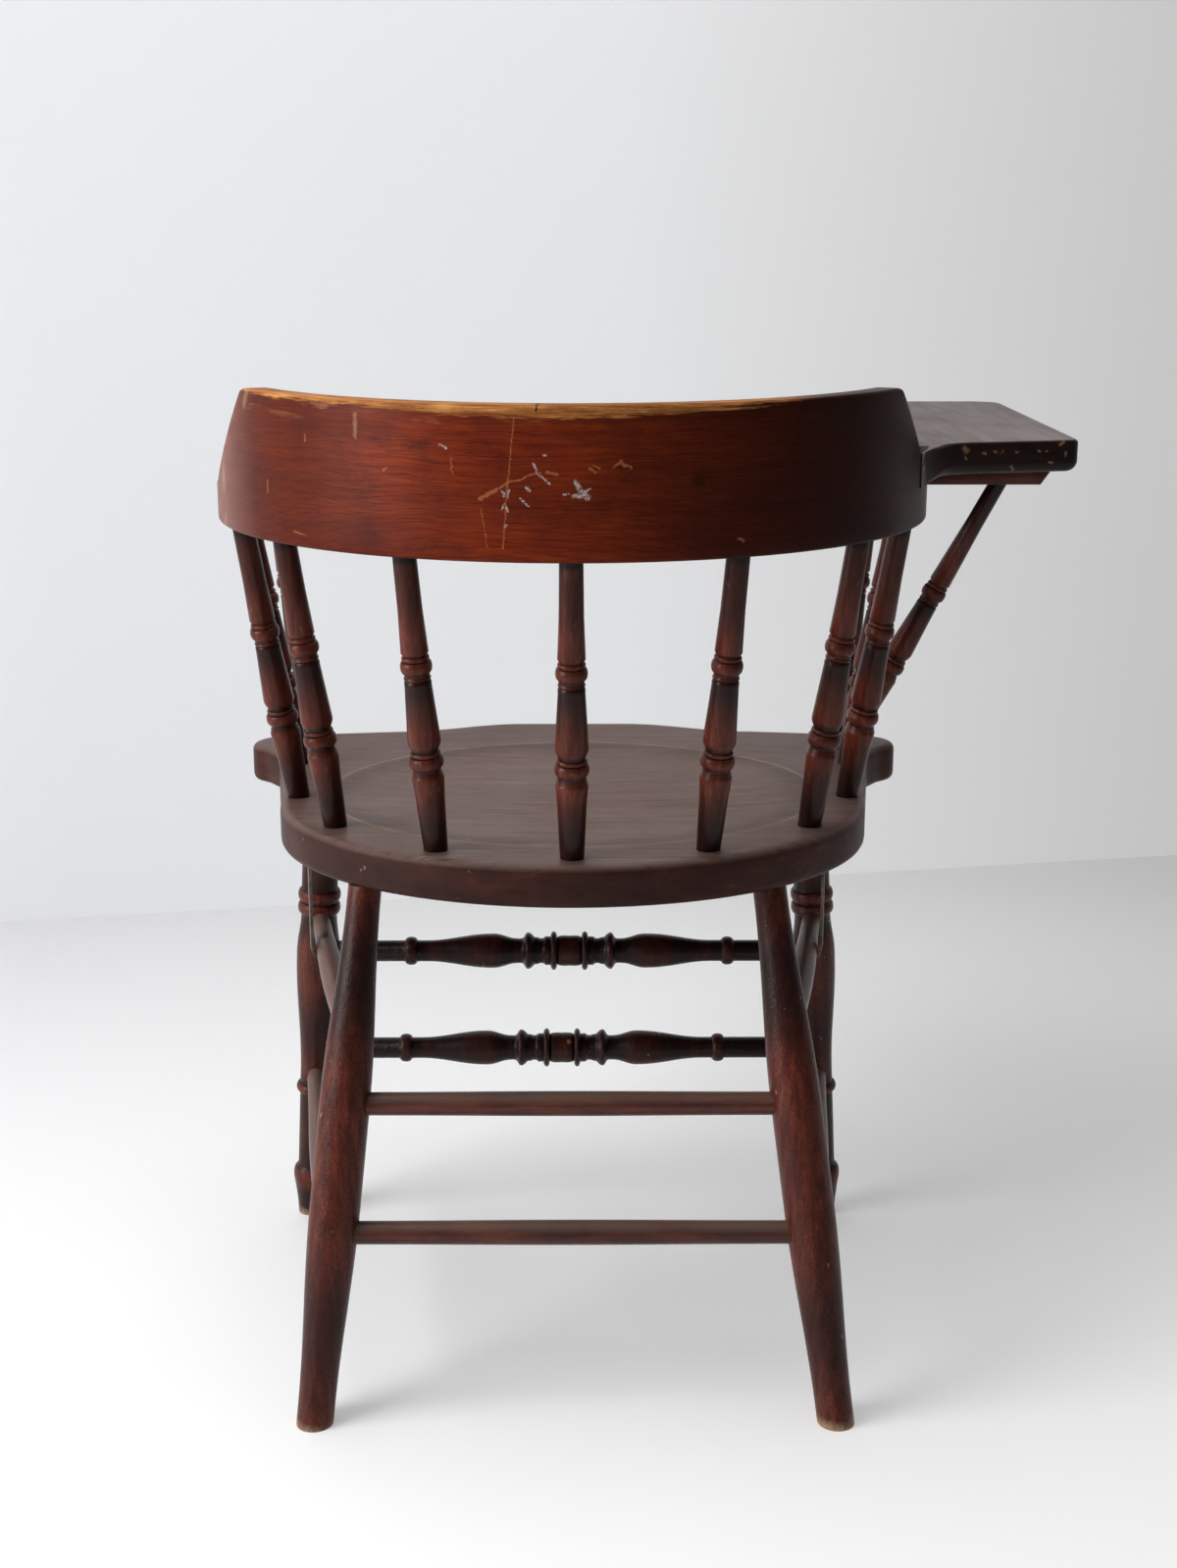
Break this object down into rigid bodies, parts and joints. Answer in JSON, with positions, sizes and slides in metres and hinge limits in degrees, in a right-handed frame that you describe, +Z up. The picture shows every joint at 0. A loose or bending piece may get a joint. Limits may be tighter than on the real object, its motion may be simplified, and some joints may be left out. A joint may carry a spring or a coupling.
{
  "type": "tablet-arm chair",
  "caption": "Weathered captain's chair with a solid saddled seat, splayed turned legs, a bent spindle back that becomes the arms, and a writing tablet over the right arm.",
  "frame": {"origin": "the floor point under the middle of the whole chair's box, tablet included", "axes": "+Z up, -Y is the way the sitter faces, +X is the sitter's left; the tablet is on -X"},
  "size_m": [0.737, 0.7967, 0.7739],
  "materials": {
    "seat_stain": "worn dark red-brown stain under thin old varnish, dulled by sitting",
    "rail_stain": "warm red-brown mahogany stain with satin varnish, worn to bare tan wood on the crest's edge",
    "spindle_stain": "dark red-brown stain, satin varnish, darker in the grooves",
    "leg_stain": "dark brown stain with alligatored old varnish, bare at the feet",
    "tablet_stain": "dark stain dulled grey-brown by handling and dust, chipped along its edge",
    "old_iron": "thin wrought strap, brown-grey old iron with a dusty rust film",
    "screw_iron": "tarnished round-head screw"
  },
  "bodies": {
    "root": {"seat": "seat_stain", "bow_rail": "rail_stain", "spindle_1": "spindle_stain", "spindle_2": "spindle_stain", "spindle_3": "spindle_stain", "spindle_4": "spindle_stain", "spindle_5": "spindle_stain", "spindle_6": "spindle_stain", "spindle_7": "spindle_stain", "arm_spindle_left_rear": "spindle_stain", "arm_spindle_left_front": "spindle_stain", "arm_spindle_right_rear": "spindle_stain", "arm_spindle_right_front": "spindle_stain", "leg_back_left": "leg_stain", "leg_back_right": "leg_stain", "leg_front_left": "leg_stain", "leg_front_right": "leg_stain", "stretcher_front_upper": "leg_stain", "stretcher_front_lower": "leg_stain", "stretcher_back_upper": "leg_stain", "stretcher_back_lower": "leg_stain", "stretcher_left_upper": "leg_stain", "stretcher_left_lower": "leg_stain", "stretcher_right_upper": "leg_stain", "stretcher_right_lower": "leg_stain", "tablet": "tablet_stain", "tablet_cleat": "leg_stain", "tablet_brace": "spindle_stain", "hanger_left": "old_iron", "hanger_right": "old_iron", "hanger_screws": "screw_iron"}
  },
  "joints": []
}
